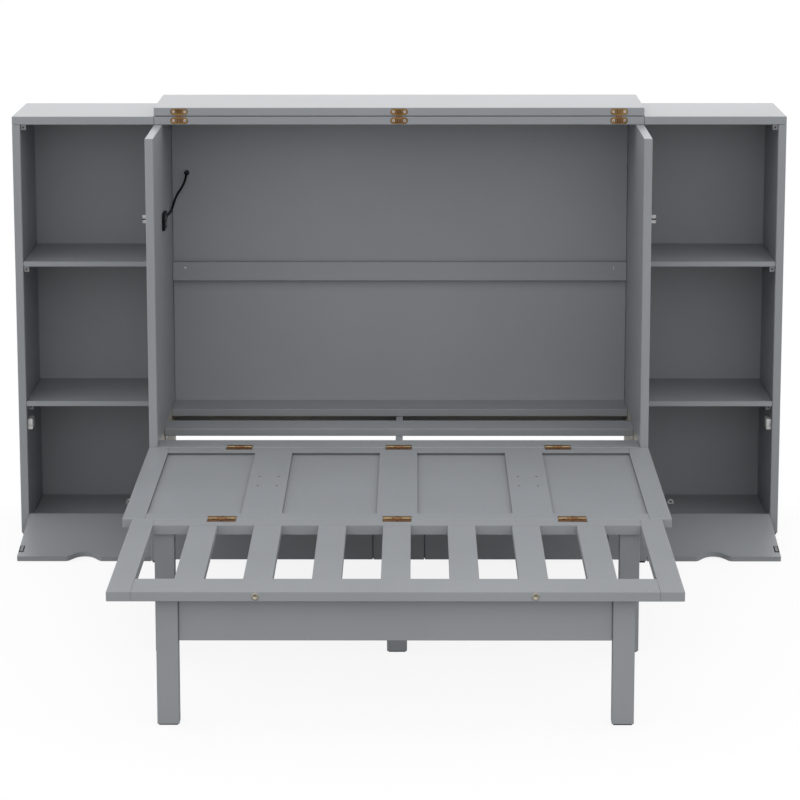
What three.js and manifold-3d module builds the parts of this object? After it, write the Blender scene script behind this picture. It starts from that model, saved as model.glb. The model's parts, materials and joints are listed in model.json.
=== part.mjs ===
// Cabinet wall bed with two open shelf units, shown with the bed folded out.
//
// A cabinet stands against the wall. Its front panel (the middle section) lies
// down level with a platform inside the cabinet, and a slatted foot section is
// hinged to the end of it. A lid leaf, hinged to the fixed top, is folded back.
// Under the platform are two drawers, and each shelf unit has a drop flap.
//
// Millimetres, +Z up, +Y towards the wall. The origin is on the floor, at the
// middle of the whole object. The pieces are laid out from the plane of the
// cabinet's front edges (y = 0 there), and the group moves them to the origin.

import * as THREE from 'three';
import { mergeVertices } from 'three/addons/utils/BufferGeometryUtils.js';
import loadManifold from 'manifold-3d';

const wasm = await loadManifold();
wasm.setup();

// ---------------------------------------------------------------- sizes

// Whole object
const CABINET_WIDTH = 1440;
const CABINET_DEPTH = 714;
const CABINET_HEIGHT = 1262;
const UNIT_WIDTH = 418;
const PANEL = 24;
const PLATFORM_TOP = 344;
const TOP_LEAF_DEPTH = 368;
const FOOT_LENGTH = 748;

// Clearances
const GAP = 0.3;
const SEAM = 2;
const LIFT_CLEARANCE = 7.5;
const SIDE_CLEARANCE = 2.6;

// Board edges
const EASED_EDGE = 1.2;

// Glides under the standing panels and the legs
const GLIDE_HEIGHT = 5;
const GLIDE_LENGTH = 46;
const GLIDE_INSET = 4;
const LEG_GLIDE_HEIGHT = 3;

// Back of the cabinet
const BACK_THICK = 12;
const BACK_INSET = 12;
const BACK_BOTTOM = 250;
const BATTEN_DEPTH = 24;
const BATTEN_HEIGHT = 58;
const BATTEN_BOTTOM = 722;

// Platform inside the cabinet
const RAIL_DEPTH = 99;
const PLATFORM_SLAT_THICK = 22;
const FRONT_SLAT_START = 259;
const FRONT_SLAT_WIDTH = 121;
const REAR_SLAT_START = 547;
const CENTRE_RAIL_WIDTH = 20;
const CENTRE_RAIL_HEIGHT = 40;

// Base frame and drawers
const BASE_BOTTOM = 10;
const FRAME_THICK = 20;
const CENTRE_STILE_WIDTH = 147;
const SIDE_STILE_WIDTH = 88;
const CROSS_RAIL_HEIGHT = 20;
const RUNNER_BOTTOM = 90;
const RUNNER_HEIGHT = 36;
const RUNNER_WIDTH = 20;
const STRETCHER_HEIGHT = 100;
const STRETCHER_THICK = 22;
const DRAWER_FRONT_THICK = 18;
const DRAWER_BOX_BOTTOM = 24;
const DRAWER_BOX_HEIGHT = 180;
const DRAWER_BOX_DEPTH = 580;
const DRAWER_WALL = 12;
const DRAWER_FLOOR = 8;
const DRAWER_FLOOR_RAISE = 8;
const SLIDE_SPACE = 13;
const STOP_REACH = 6;
const STOP_THICK = 5;

// Middle section, a framed panel
const END_STILE = 59;
const INNER_STILE = 107;
const INNER_STILE_SPACING = 357.5;
const MIDDLE_REAR_RAIL = 72;
const MIDDLE_FRONT_RAIL = 62;
const BOARD_THICK = 9;
const BOARD_GROOVE = 8;
const SEAM_WIDTH = 1.4;
const SEAM_DEPTH = 1.2;

// Foot section, a slatted frame
const FOOT_SIDE_RAIL = 59;
const FOOT_REAR_RAIL = 72.5;
const FOOT_FRONT_RAIL = 125;
const FOOT_SLATS = 7;
const FOOT_SLAT_WIDTH = 72;
const FOOT_SLAT_THICK = 20;
const FOOT_SLAT_SPACING = 167.5;

// Hinges of the two sections
const HINGE_RISE = 1;
const HINGE_SPACING = 459;
const HINGE_WIDTH = 74;
const HINGE_LEAF = 31;
const HINGE_PLATE = 2.4;
const KNUCKLE_RADIUS = 3.4;
const KNUCKLE_SHARE = 3;
const KNUCKLE_CLEARANCE = 0.8;

// Concealed hinges of the lid
const LID_HINGE_SPACING = 646;
const LID_POCKET_WIDTH = 40;
const LID_POCKET_HEIGHT = 13;
const LID_POCKET_DEPTH = 26;

// Legs
const LEG_DEPTH = 40;
const LEG_TOP_CLEARANCE = 1.5;
const FRONT_LEG_WIDTH = 53.5;
const FRONT_LEG_OUTER = 577.5;
const FRONT_LEG_SETBACK = 37;
const MID_LEG_WIDTH = 52.5;
const MID_LEG_OUTER = 632;
const MID_LEG_SETBACK = 61.4;
const APRON_HEIGHT = 108;
const APRON_THICK = 22;
const APRON_SETBACK = 9;

// Shelf units
const UNIT_BACK_THICK = 6;
const SHELF_THICK = 15;
const UPPER_SHELF_TOP = 831;
const LOWER_SHELF_TOP = 409;
const UNIT_FLOOR_TOP = 40;
const FLOOR_LIP_HEIGHT = 10;
const FLAP_THICK = 15;
const FLAP_HEIGHT = 332;
const FLAP_PIVOT_RISE = 1;
const FLAP_SIDE_GAP = 2;
const FLAP_FLOOR_GAP = 0.5;
const FINGER_WIDTH = 106;
const FINGER_DEPTH = 35;
const LATCH_WIDTH = 14;
const LATCH_LENGTH = 52;
const LATCH_HEIGHT = 32;
const LATCH_DROP = 33;
const PLUNGER_RADIUS = 4;
const PLUNGER_LENGTH = 3;

// Power outlet on the left side panel, and its lead
const OUTLET_PROUD = 9;
const OUTLET_DEPTH = 92;
const OUTLET_HEIGHT = 51;
const OUTLET_FRONT = 281;
const OUTLET_BOTTOM = 931;
const OUTLET_EDGE = 1.8;
const PORT_RECESS = 4;
const PORT_HEIGHT = 7;
const PORT_SPACING = 15;
const PORT_MARGIN = 16;
const CORD_DIAMETER = 7;
const CORD_SIDES = 10;
const CORD_STEPS = 36;
const GROMMET_INSET = 46;
const GROMMET_DROP = 186;
const GROMMET_RADIUS = 6;
const GROMMET_FLANGE = 8;
const GROMMET_FLANGE_THICK = 1.5;
const ROUND_SIDES = 28;

// ------------------------------------------------------ worked-out places

const HALF_CABINET = CABINET_WIDTH / 2;
const INNER_HALF = HALF_CABINET - PANEL;
const HALF_TOTAL = HALF_CABINET + UNIT_WIDTH;
const TOP_UNDERSIDE = CABINET_HEIGHT - PANEL;
const UNIT_FRONT = CABINET_DEPTH - TOP_LEAF_DEPTH;
const BACK_FACE = CABINET_DEPTH - BACK_INSET - BACK_THICK;
const SECTION_BOTTOM = PLATFORM_TOP - PANEL;
const SLAT_BOTTOM = PLATFORM_TOP - PLATFORM_SLAT_THICK;

// Each section is hinged just above its top face, in the middle of its joint.
const HINGE_AXIS_Z = PLATFORM_TOP + HINGE_RISE;
const JOINT_GAP = 3;
const MIDDLE_REAR = -JOINT_GAP;
const MIDDLE_LENGTH = TOP_UNDERSIDE - HINGE_AXIS_Z - JOINT_GAP / 2 - LIFT_CLEARANCE;
const MIDDLE_FRONT = MIDDLE_REAR - MIDDLE_LENGTH;
const FOOT_REAR = MIDDLE_FRONT - JOINT_GAP;
const FOOT_FRONT = FOOT_REAR - FOOT_LENGTH;
const FOOT_HALF = INNER_HALF - SIDE_CLEARANCE;
const MIDDLE_AXIS_Y = -JOINT_GAP / 2;
const FOOT_AXIS_Y = MIDDLE_FRONT - JOINT_GAP / 2;
const ORIGIN_Y = (CABINET_DEPTH + FOOT_FRONT) / 2;

// ------------------------------------------------------------- materials

function finish(color, roughness, metalness = 0) {
  return new THREE.MeshStandardMaterial({ color, roughness, metalness });
}

const grey = finish(0x8f9296, 0.45);
const greySlat = finish(0x94979b, 0.45);
const brass = finish(0x9a6b34, 0.35, 1);
const black = finish(0x17181a, 0.4);
const white = finish(0xe6e6e3, 0.4);

// ------------------------------------------------------- shapes and solids

// A board with eased edges, from its lowest to its highest corner.
function board([x0, x1], [y0, y1], [z0, z1], edge = EASED_EDGE) {
  const e = edge;
  const halfX = (x1 - x0) / 2 - e;
  const halfY = (y1 - y0) / 2 - e;
  const outline = new THREE.Shape([
    new THREE.Vector2(-halfX + e, -halfY),
    new THREE.Vector2(halfX - e, -halfY),
    new THREE.Vector2(halfX, -halfY + e),
    new THREE.Vector2(halfX, halfY - e),
    new THREE.Vector2(halfX - e, halfY),
    new THREE.Vector2(-halfX + e, halfY),
    new THREE.Vector2(-halfX, halfY - e),
    new THREE.Vector2(-halfX, -halfY + e),
  ]);
  const geometry = new THREE.ExtrudeGeometry(outline, {
    depth: z1 - z0 - 2 * e,
    bevelEnabled: true,
    bevelThickness: e,
    bevelSize: e,
    bevelSegments: 1,
  });
  geometry.translate((x0 + x1) / 2, (y0 + y1) / 2, z0 + e);
  return geometry;
}

// A plain block, for cuts and for small joined pieces.
function block([x0, x1], [y0, y1], [z0, z1]) {
  const geometry = new THREE.BoxGeometry(x1 - x0, y1 - y0, z1 - z0);
  geometry.translate((x0 + x1) / 2, (y0 + y1) / 2, (z0 + z1) / 2);
  return geometry;
}

// A round bar along X.
function barX([x0, x1], y, z, radius) {
  const geometry = new THREE.CylinderGeometry(radius, radius, x1 - x0, ROUND_SIDES);
  geometry.rotateZ(Math.PI / 2);
  geometry.translate((x0 + x1) / 2, y, z);
  return geometry;
}

// A round bar along Y.
function barY(x, [y0, y1], z, radius) {
  const geometry = new THREE.CylinderGeometry(radius, radius, y1 - y0, ROUND_SIDES);
  geometry.translate(x, (y0 + y1) / 2, z);
  return geometry;
}

function toSolid(geometry) {
  const bare = geometry.clone();
  bare.deleteAttribute('normal');
  bare.deleteAttribute('uv');
  const merged = mergeVertices(bare);
  return new wasm.Manifold(new wasm.Mesh({
    numProp: 3,
    vertProperties: merged.attributes.position.array,
    triVerts: new Uint32Array(merged.index.array),
  }));
}

function toGeometry(solid) {
  const mesh = solid.getMesh();
  const geometry = new THREE.BufferGeometry();
  geometry.setAttribute('position', new THREE.BufferAttribute(mesh.vertProperties, 3));
  geometry.setIndex(new THREE.BufferAttribute(mesh.triVerts, 1));
  geometry.computeVertexNormals();
  return geometry;
}

// The first shape with the others joined to it, and then the cuts taken away.
function carve(shapes, cuts = []) {
  let solid = toSolid(shapes[0]);
  for (const shape of shapes.slice(1)) solid = solid.add(toSolid(shape));
  for (const cut of cuts) solid = solid.subtract(toSolid(cut));
  return toGeometry(solid);
}

// A span mirrored to one side of the object: side is -1 (left) or +1 (right).
function onSide(side, inner, outer) {
  return side < 0 ? [-outer, -inner] : [inner, outer];
}

const group = new THREE.Group();
group.position.set(0, -ORIGIN_Y, 0);

function add(name, geometry, material) {
  const mesh = new THREE.Mesh(geometry, material);
  mesh.name = name;
  group.add(mesh);
  return mesh;
}

const SIDES = [['left', -1], ['right', 1]];

// ----------------------------------------------------------- standing panels

// A full-height side panel on two glides.
function standingPanel(side, inner, [y0, y1]) {
  const across = onSide(side, inner, inner + PANEL);
  const pad = onSide(side, inner + GLIDE_INSET, inner + PANEL - GLIDE_INSET);
  const padZ = [0, GLIDE_HEIGHT + EASED_EDGE + 1];
  return [
    board(across, [y0, y1], [GLIDE_HEIGHT, TOP_UNDERSIDE - GAP]),
    block(pad, [y0 + GLIDE_INSET, y0 + GLIDE_INSET + GLIDE_LENGTH], padZ),
    block(pad, [y1 - GLIDE_INSET - GLIDE_LENGTH, y1 - GLIDE_INSET], padZ),
  ];
}

for (const [word, side] of SIDES) {
  add(`${word}_side_panel`, carve(standingPanel(side, INNER_HALF, [0, CABINET_DEPTH])), grey);
}

// ------------------------------------------------- top leaf, lid and back

function lidPockets(z) {
  const low = z + (PANEL - LID_POCKET_HEIGHT) / 2;
  return [-LID_HINGE_SPACING, 0, LID_HINGE_SPACING].map((x) => block(
    [x - LID_POCKET_WIDTH / 2, x + LID_POCKET_WIDTH / 2],
    [UNIT_FRONT - 1, UNIT_FRONT + LID_POCKET_DEPTH],
    [low, low + LID_POCKET_HEIGHT],
  ));
}

const leafAcross = [-HALF_CABINET, HALF_CABINET];
const leafDeep = [UNIT_FRONT, CABINET_DEPTH];
const LID_BOTTOM = CABINET_HEIGHT + SEAM;
add('fixed_top_leaf', carve(
  [board(leafAcross, leafDeep, [TOP_UNDERSIDE, CABINET_HEIGHT])],
  lidPockets(TOP_UNDERSIDE),
), grey);
add('lid_leaf', carve(
  [board(leafAcross, leafDeep, [LID_BOTTOM, LID_BOTTOM + PANEL])],
  lidPockets(LID_BOTTOM),
), grey);

const GROMMET_X = -INNER_HALF + GROMMET_INSET;
const GROMMET_Z = TOP_UNDERSIDE - GROMMET_DROP;
const insideAcross = [-INNER_HALF + GAP, INNER_HALF - GAP];
add('cabinet_back_panel', carve(
  [board(insideAcross, [BACK_FACE, BACK_FACE + BACK_THICK], [BACK_BOTTOM, TOP_UNDERSIDE - GAP])],
  [barY(GROMMET_X, [BACK_FACE - 5, BACK_FACE + BACK_THICK + 5], GROMMET_Z, GROMMET_RADIUS + GAP)],
), grey);
add('mattress_batten', board(
  insideAcross,
  [BACK_FACE - GAP - BATTEN_DEPTH, BACK_FACE - GAP],
  [BATTEN_BOTTOM, BATTEN_BOTTOM + BATTEN_HEIGHT],
), grey);

// ---------------------------------------------------- platform and base

const CENTRE_RAIL_TOP = SLAT_BOTTOM - GAP;
add('front_platform_slat', board(
  insideAcross,
  [FRONT_SLAT_START, FRONT_SLAT_START + FRONT_SLAT_WIDTH],
  [SLAT_BOTTOM, PLATFORM_TOP],
), greySlat);
add('rear_platform_slat', board(
  insideAcross,
  [REAR_SLAT_START, BACK_FACE - GAP],
  [SLAT_BOTTOM, PLATFORM_TOP],
), greySlat);
add('platform_centre_rail', board(
  [-CENTRE_RAIL_WIDTH / 2, CENTRE_RAIL_WIDTH / 2],
  [RAIL_DEPTH + GAP, BACK_FACE - GAP],
  [CENTRE_RAIL_TOP - CENTRE_RAIL_HEIGHT, CENTRE_RAIL_TOP],
), grey);

// Round recesses for the knuckles and shallow ones for the plates of a row of
// butt hinges: leafY is the span of the plates in the face being cut.
const HINGE_X = [-HINGE_SPACING, 0, HINGE_SPACING];
function hingeRecesses(axisY, leafY) {
  const half = HINGE_WIDTH / 2 + GAP;
  return HINGE_X.flatMap((x) => [
    block([x - half, x + half], leafY, [PLATFORM_TOP - HINGE_PLATE - GAP, PLATFORM_TOP + 5]),
    barX([x - half, x + half], axisY, HINGE_AXIS_Z, KNUCKLE_RADIUS + KNUCKLE_CLEARANCE),
  ]);
}

const RUNNER_END = BACK_FACE + BACK_THICK - STRETCHER_THICK - GAP;
const STILE_TOP = SECTION_BOTTOM + 5;
const CROSS_RAIL_BOTTOM = SECTION_BOTTOM - CROSS_RAIL_HEIGHT;
const DRAWER_INNER = CENTRE_STILE_WIDTH / 2;
const DRAWER_OUTER = INNER_HALF - SIDE_STILE_WIDTH;
const stileZ = [BASE_BOTTOM, STILE_TOP];
const runnerZ = [RUNNER_BOTTOM, RUNNER_BOTTOM + RUNNER_HEIGHT];
const runnerY = [FRAME_THICK / 2, RUNNER_END];
// Strips behind the stiles' edges close the seams beside the drawer fronts.
const stopY = [DRAWER_FRONT_THICK + SEAM / 2, FRAME_THICK + STOP_THICK];
add('base_frame', carve(
  [
    board(insideAcross, [0, RAIL_DEPTH], [SECTION_BOTTOM, PLATFORM_TOP]),
    block(insideAcross, [0, FRAME_THICK], [CROSS_RAIL_BOTTOM, STILE_TOP]),
    block([-DRAWER_INNER, DRAWER_INNER], [0, FRAME_THICK], stileZ),
    ...SIDES.flatMap(([, side]) => [
      block(onSide(side, DRAWER_OUTER, INNER_HALF - GAP), [0, FRAME_THICK], stileZ),
      block(onSide(side, DRAWER_INNER - RUNNER_WIDTH, DRAWER_INNER), runnerY, runnerZ),
      block(onSide(side, DRAWER_OUTER, DRAWER_OUTER + RUNNER_WIDTH), runnerY, runnerZ),
      block(onSide(side, DRAWER_INNER - RUNNER_WIDTH, DRAWER_INNER + STOP_REACH), stopY, stileZ),
      block(onSide(side, DRAWER_OUTER - STOP_REACH, DRAWER_OUTER + RUNNER_WIDTH), stopY, stileZ),
    ]),
  ],
  hingeRecesses(MIDDLE_AXIS_Y, [-1, HINGE_LEAF + GAP]),
), grey);
add('rear_stretcher', board(
  insideAcross,
  [RUNNER_END + GAP, RUNNER_END + GAP + STRETCHER_THICK],
  [RUNNER_BOTTOM - 20, RUNNER_BOTTOM - 20 + STRETCHER_HEIGHT],
), grey);

for (const [word, side] of SIDES) {
  add(`${word}_drawer_front`, board(
    onSide(side, DRAWER_INNER + SEAM, DRAWER_OUTER - SEAM),
    [0, DRAWER_FRONT_THICK],
    [BASE_BOTTOM, CROSS_RAIL_BOTTOM - SEAM],
  ), grey);
  const inner = DRAWER_INNER + SLIDE_SPACE;
  const outer = DRAWER_OUTER - SLIDE_SPACE;
  const front = DRAWER_FRONT_THICK + GAP;
  const boxTop = DRAWER_BOX_BOTTOM + DRAWER_BOX_HEIGHT;
  const floorUnder = DRAWER_BOX_BOTTOM + DRAWER_FLOOR_RAISE;
  const inside = onSide(side, inner + DRAWER_WALL, outer - DRAWER_WALL);
  const insideY = [front + DRAWER_WALL, front + DRAWER_BOX_DEPTH - DRAWER_WALL];
  add(`${word}_drawer_box`, carve(
    [board(onSide(side, inner, outer), [front, front + DRAWER_BOX_DEPTH], [DRAWER_BOX_BOTTOM, boxTop])],
    [
      block(inside, insideY, [floorUnder + DRAWER_FLOOR, boxTop + 5]),
      block(inside, insideY, [DRAWER_BOX_BOTTOM - 5, floorUnder]),
    ],
  ), white);
}

// ----------------------------------------------------------- shelf units

const UNIT_INNER = HALF_CABINET + GAP;
const UNIT_OUTER_INNER = HALF_TOTAL - PANEL;
const UNIT_BACK_FACE = CABINET_DEPTH - UNIT_BACK_THICK;

// The drop flap, standing closed with its pivot line at the origin: the finger
// cut-out is in its upper edge.
function flapShape(width) {
  const half = width / 2;
  const low = FLAP_PIVOT_RISE;
  const high = low + FLAP_HEIGHT;
  const notch = high - FINGER_DEPTH;
  const end = FINGER_WIDTH / 2;
  const outline = new THREE.Shape();
  outline.moveTo(-half, low);
  outline.lineTo(half, low);
  outline.lineTo(half, high);
  outline.lineTo(end, high);
  outline.bezierCurveTo(end * 0.72, high, end * 0.6, notch, 0, notch);
  outline.bezierCurveTo(-end * 0.6, notch, -end * 0.72, high, -end, high);
  outline.lineTo(-half, high);
  outline.closePath();
  const geometry = new THREE.ExtrudeGeometry(outline, {
    depth: FLAP_THICK,
    bevelEnabled: false,
    curveSegments: 12,
  });
  geometry.rotateX(Math.PI / 2);
  geometry.translate(0, FLAP_THICK, 0);
  return geometry;
}

// Open, the flap rests on the floor with its far edge.
const FLAP_PIVOT_Z = UNIT_FLOOR_TOP + FLOOR_LIP_HEIGHT + FLAP_PIVOT_RISE;
const flapReach = FLAP_PIVOT_RISE + FLAP_HEIGHT;
const FLAP_OPEN_ANGLE = Math.PI / 2 + Math.asin((FLAP_PIVOT_Z - FLAP_FLOOR_GAP) / flapReach);

for (const [word, side] of SIDES) {
  const across = onSide(side, UNIT_INNER, UNIT_OUTER_INNER - GAP);
  const deep = [UNIT_FRONT, UNIT_BACK_FACE - GAP];
  const outerSide = standingPanel(side, UNIT_OUTER_INNER, [UNIT_FRONT, UNIT_BACK_FACE - GAP]);
  add(`${word}_unit_outer_side`, carve(outerSide), grey);
  add(`${word}_unit_top`, board(
    onSide(side, UNIT_INNER, HALF_TOTAL),
    [UNIT_FRONT, CABINET_DEPTH],
    [TOP_UNDERSIDE, CABINET_HEIGHT],
  ), grey);
  add(`${word}_unit_upper_shelf`, board(
    across, deep, [UPPER_SHELF_TOP - SHELF_THICK, UPPER_SHELF_TOP],
  ), grey);
  add(`${word}_unit_lower_shelf`, board(
    across, deep, [LOWER_SHELF_TOP - SHELF_THICK, LOWER_SHELF_TOP],
  ), grey);
  // The floor's front lip is as thick as the flap that closes above it.
  add(`${word}_unit_floor`, carve([
    board(across, [UNIT_FRONT + GAP, deep[1]], [UNIT_FLOOR_TOP - PANEL, UNIT_FLOOR_TOP]),
    board(
      across,
      [UNIT_FRONT + GAP, UNIT_FRONT + FLAP_THICK],
      [UNIT_FLOOR_TOP - PANEL / 2, UNIT_FLOOR_TOP + FLOOR_LIP_HEIGHT],
    ),
  ]), grey);
  add(`${word}_unit_back`, block(
    onSide(side, UNIT_INNER, HALF_TOTAL),
    [UNIT_BACK_FACE, CABINET_DEPTH],
    [UNIT_FLOOR_TOP - PANEL, TOP_UNDERSIDE - GAP],
  ), grey);

  const flapAcross = onSide(side, UNIT_INNER + FLAP_SIDE_GAP, UNIT_OUTER_INNER - FLAP_SIDE_GAP);
  const flap = add(`${word}_flap`, flapShape(flapAcross[1] - flapAcross[0]), grey);
  flap.position.set((flapAcross[0] + flapAcross[1]) / 2, UNIT_FRONT, FLAP_PIVOT_Z);
  flap.rotation.x = FLAP_OPEN_ANGLE;

  // The push latch is behind the closed flap, near its upper outer corner.
  const latchX = onSide(side, UNIT_OUTER_INNER - GAP - LATCH_WIDTH, UNIT_OUTER_INNER - GAP);
  const latchY = UNIT_FRONT + FLAP_THICK + SEAM + PLUNGER_LENGTH;
  const latchTop = FLAP_PIVOT_Z + flapReach - LATCH_DROP;
  add(`${word}_touch_latch`, carve([
    board(latchX, [latchY, latchY + LATCH_LENGTH], [latchTop - LATCH_HEIGHT, latchTop]),
    barY(
      (latchX[0] + latchX[1]) / 2,
      [latchY - PLUNGER_LENGTH, latchY + 5],
      latchTop - LATCH_HEIGHT / 2,
      PLUNGER_RADIUS,
    ),
  ]), white);
}

// -------------------------------------------------------- middle section

// Four boards sit in grooves between the end stiles and the inner stiles.
const stileCentres = [-INNER_STILE_SPACING, 0, INNER_STILE_SPACING];
const bayEdges = [
  -HALF_CABINET + END_STILE,
  ...stileCentres.flatMap((x) => [x - INNER_STILE / 2, x + INNER_STILE / 2]),
  HALF_CABINET - END_STILE,
];
const bayY = [MIDDLE_FRONT + MIDDLE_FRONT_RAIL, MIDDLE_REAR - MIDDLE_REAR_RAIL];
const boardLow = SECTION_BOTTOM + (PANEL - BOARD_THICK) / 2;
const boardZ = [boardLow, boardLow + BOARD_THICK];

function widened([low, high], by) {
  return [low - by, high + by];
}

// The seams where the rails end against the outer stiles: thin grooves in the
// top face, and down the front face.
function railSeams(x, front, spans) {
  return [-x, x].flatMap((at) => {
    const across = [at - SEAM_WIDTH / 2, at + SEAM_WIDTH / 2];
    const topZ = [PLATFORM_TOP - SEAM_DEPTH, PLATFORM_TOP + 5];
    return [
      ...spans.map((span) => block(across, span, topZ)),
      block(across, [front - 5, front + SEAM_DEPTH], [SECTION_BOTTOM - 5, PLATFORM_TOP + 5]),
    ];
  });
}

const bays = [0, 1, 2, 3].map((n) => [bayEdges[2 * n], bayEdges[2 * n + 1]]);
add('middle_frame', carve(
  [board(leafAcross, [MIDDLE_FRONT, MIDDLE_REAR], [SECTION_BOTTOM, PLATFORM_TOP])],
  [
    ...bays.map((bay) => block(bay, bayY, [SECTION_BOTTOM - 5, PLATFORM_TOP + 5])),
    ...bays.map((bay) => block(
      widened(bay, BOARD_GROOVE), widened(bayY, BOARD_GROOVE), widened(boardZ, GAP),
    )),
    ...hingeRecesses(MIDDLE_AXIS_Y, [MIDDLE_REAR - HINGE_LEAF - GAP, 1]),
    ...hingeRecesses(FOOT_AXIS_Y, [MIDDLE_FRONT - 1, MIDDLE_FRONT + HINGE_LEAF + GAP]),
    ...railSeams(
      HALF_CABINET - END_STILE,
      MIDDLE_FRONT,
      [[MIDDLE_FRONT, bayY[0] + 1], [bayY[1] - 1, MIDDLE_REAR + 5]],
    ),
  ],
), grey);
bays.forEach((bay, n) => add(
  `middle_panel_${n + 1}`,
  block(widened(bay, BOARD_GROOVE - GAP), widened(bayY, BOARD_GROOVE - GAP), boardZ),
  grey,
));

// The moving leaf of a butt hinge: a plate let into the top face, in front of
// its pin line, and the middle knuckle.
function hingeLeaf(x, axisY) {
  const top = PLATFORM_TOP;
  const plateRear = axisY - JOINT_GAP / 2 - GAP;
  const third = HINGE_WIDTH / KNUCKLE_SHARE / 2 - GAP;
  return carve([
    block(
      [x - HINGE_WIDTH / 2, x + HINGE_WIDTH / 2],
      [axisY - JOINT_GAP / 2 - HINGE_LEAF, plateRear - KNUCKLE_RADIUS],
      [top - HINGE_PLATE, top],
    ),
    block(
      [x - third, x + third],
      [plateRear - KNUCKLE_RADIUS - 1, axisY],
      [top - HINGE_PLATE, top],
    ),
    barX([x - third, x + third], axisY, HINGE_AXIS_Z, KNUCKLE_RADIUS),
  ]);
}

HINGE_X.forEach((x, n) => add(`middle_hinge_leaf_${n + 1}`, hingeLeaf(x, MIDDLE_AXIS_Y), brass));
HINGE_X.forEach((x, n) => add(`foot_hinge_leaf_${n + 1}`, hingeLeaf(x, FOOT_AXIS_Y), brass));

// ---------------------------------------------------------- foot section

const slatFieldY = [FOOT_FRONT + FOOT_FRONT_RAIL, FOOT_REAR - FOOT_REAR_RAIL];
add('foot_frame', carve(
  [board([-FOOT_HALF, FOOT_HALF], [FOOT_FRONT, FOOT_REAR], [SECTION_BOTTOM, PLATFORM_TOP])],
  [
    block(
      [-FOOT_HALF + FOOT_SIDE_RAIL, FOOT_HALF - FOOT_SIDE_RAIL],
      slatFieldY,
      [SECTION_BOTTOM - 5, PLATFORM_TOP + 5],
    ),
    ...hingeRecesses(FOOT_AXIS_Y, [FOOT_REAR - HINGE_LEAF - GAP, FOOT_REAR + 1]),
    ...railSeams(
      FOOT_HALF - FOOT_SIDE_RAIL,
      FOOT_FRONT,
      [[FOOT_FRONT, slatFieldY[0] + 1], [slatFieldY[1] - 1, FOOT_REAR + 5]],
    ),
  ],
), grey);
for (let n = 0; n < FOOT_SLATS; n += 1) {
  const x = (n - (FOOT_SLATS - 1) / 2) * FOOT_SLAT_SPACING;
  add(`foot_slat_${n + 1}`, board(
    [x - FOOT_SLAT_WIDTH / 2, x + FOOT_SLAT_WIDTH / 2],
    [slatFieldY[0] + GAP, slatFieldY[1] - GAP],
    [PLATFORM_TOP - FOOT_SLAT_THICK, PLATFORM_TOP],
  ), greySlat);
}

// ------------------------------------------------------------------ legs

const LEG_TOP = SECTION_BOTTOM - LEG_TOP_CLEARANCE;

function leg(across, deep) {
  return carve([
    board(across, deep, [LEG_GLIDE_HEIGHT, LEG_TOP]),
    block(
      widened(across, -GLIDE_INSET),
      widened(deep, -GLIDE_INSET),
      [0, LEG_GLIDE_HEIGHT + EASED_EDGE + 1],
    ),
  ]);
}

const frontLegY = [FOOT_FRONT + FRONT_LEG_SETBACK, FOOT_FRONT + FRONT_LEG_SETBACK + LEG_DEPTH];
for (const [word, side] of SIDES) {
  const across = onSide(side, FRONT_LEG_OUTER - FRONT_LEG_WIDTH, FRONT_LEG_OUTER);
  add(`${word}_front_leg`, leg(across, frontLegY), grey);
}
const apronHalf = FRONT_LEG_OUTER - FRONT_LEG_WIDTH - GAP;
add('leg_apron', board(
  [-apronHalf, apronHalf],
  [frontLegY[0] + APRON_SETBACK, frontLegY[0] + APRON_SETBACK + APRON_THICK],
  [LEG_TOP - APRON_HEIGHT, LEG_TOP],
), grey);

const midLegY = [FOOT_REAR - MID_LEG_SETBACK, FOOT_REAR - MID_LEG_SETBACK + LEG_DEPTH];
for (const [word, side] of SIDES) {
  add(`${word}_mid_leg`, leg(onSide(side, MID_LEG_OUTER - MID_LEG_WIDTH, MID_LEG_OUTER), midLegY), grey);
}
add('centre_mid_leg', leg([-MID_LEG_WIDTH / 2, MID_LEG_WIDTH / 2], midLegY), grey);

// ------------------------------------------------- power outlet and its lead

const outletX = [-INNER_HALF + GAP, -INNER_HALF + GAP + OUTLET_PROUD];
const outletTop = OUTLET_BOTTOM + OUTLET_HEIGHT;
const outletY = [OUTLET_FRONT, OUTLET_FRONT + OUTLET_DEPTH];
const portX = [outletX[1] - PORT_RECESS, outletX[1] + 5];
const portY = widened(outletY, -PORT_MARGIN);
const portRows = [-1, 0, 1].map((row) => (OUTLET_BOTTOM + outletTop) / 2 + row * PORT_SPACING);
add('power_outlet', carve(
  [board(outletX, outletY, [OUTLET_BOTTOM, outletTop], OUTLET_EDGE)],
  portRows.map((z) => block(portX, portY, [z - PORT_HEIGHT / 2, z + PORT_HEIGHT / 2])),
), black);

// The lead leaves the outlet's rear end, droops along the side panel, climbs
// past the corner and goes back through the grommet.
const cordX = outletX[0] + OUTLET_PROUD / 2;
const cordZ = outletTop - 22;
const cordRoute = [
  [cordX, outletY[1] + GAP, cordZ],
  [cordX, 395, 960],
  [cordX, 440, 957],
  [cordX, 500, 952],
  [cordX, 560, 948.5],
  [cordX, 596, 948.5],
  [-691, 620, 951],
  [-689, 639, 960],
  [-684, 650, 975],
  [-676, 653, 992],
  [-666, 650.5, 1007],
  [-658, 650, 1021],
  [-652.8, 654.5, 1034.5],
  [-650.5, 664, 1044.8],
  [GROMMET_X, 676, 1050.3],
  [GROMMET_X, 689, GROMMET_Z],
  [GROMMET_X, BACK_FACE + BACK_THICK, GROMMET_Z],
].map(([x, y, z]) => new THREE.Vector3(x, y, z));

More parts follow.
